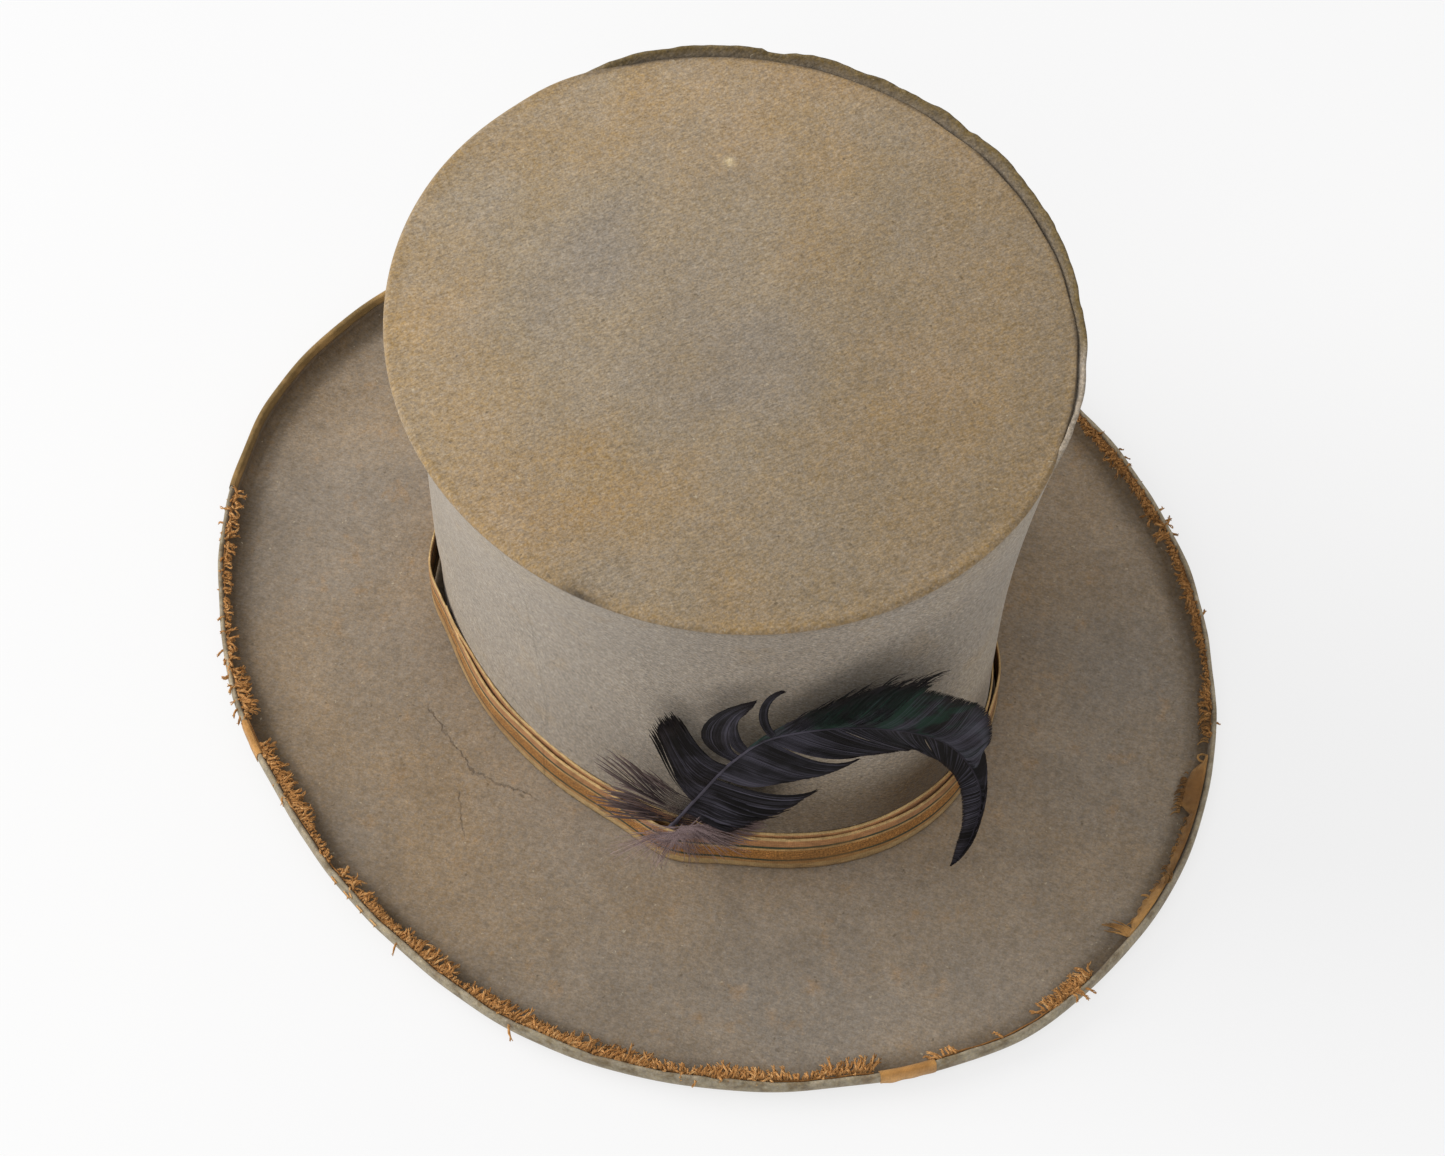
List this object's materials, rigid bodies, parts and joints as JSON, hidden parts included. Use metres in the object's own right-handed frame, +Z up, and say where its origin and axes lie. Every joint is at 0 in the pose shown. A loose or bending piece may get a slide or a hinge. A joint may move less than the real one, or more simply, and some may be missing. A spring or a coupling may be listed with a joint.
{
  "type": "top hat",
  "caption": "Worn felt top hat with a bell crown torn along its tip seam, a curled brim with frayed ribbon binding, a striped ribbon band and a dark curled feather tucked into it.",
  "frame": {"origin": "centre of the hat's footprint, on the floor under the brim", "axes": "+Z up, the front of the hat faces -Y, the wearer's left (the feather side) is +X"},
  "size_m": [0.3107, 0.3609, 0.1845],
  "materials": {
    "brim_felt": "matte wool felt, grey-brown, faint cracks and stains",
    "crown_felt": "matte wool felt, pale grey-beige with a fine slanting nap",
    "tip_felt": "matte wool felt, faded in grey and orange-brown patches",
    "shell": "stiffened cloth shell, size-coated",
    "lining": "thin glazed cotton lining, aged",
    "sweatband_leather": "worn brown leather, slight shine",
    "binding_ribbon": "ribbed tan-ochre silk ribbon, worn",
    "frayed_ribbon": "orange-brown frayed ribbon threads",
    "thread": "tan sewing thread",
    "band_ribbon": "woven ribbon striped in cream, dark green, ochre and pinkish tan",
    "quill": "dark keratin shaft, semi-gloss",
    "vane": "black barbs with a blue-violet and green sheen",
    "down": "soft grey-brown down"
  },
  "bodies": {
    "hat": {"brim_felt": "brim_felt", "crown_side_felt": "crown_felt", "crown_tip_felt": "tip_felt", "crown_side_shell": "shell", "crown_tip_shell": "shell", "lining_side": "lining", "lining_tip": "lining", "sweatband": "sweatband_leather", "sweatband_reed": "sweatband_leather", "binding_front": "binding_ribbon", "binding_frayed_left": "frayed_ribbon", "binding_frayed_back": "frayed_ribbon", "binding_loose_end": "binding_ribbon", "binding_frayed_right": "frayed_ribbon", "binding_patch_left": "binding_ribbon", "binding_patch_back": "binding_ribbon", "edge_stitches": "thread", "band_outer_turn": "band_ribbon", "band_inner_turn": "band_ribbon"},
    "feather": {"feather_quill": "quill", "feather_vane_upper": "vane", "feather_vane_lower": "vane", "feather_side_barbs": "vane", "feather_down": "down"}
  },
  "joints": [
    {"name": "feather_slide", "type": "slide", "parent": "hat", "child": "feather", "axis": [-0.0943, 0.2992, 0.9495], "range_m": [0, 0.025]}
  ]
}
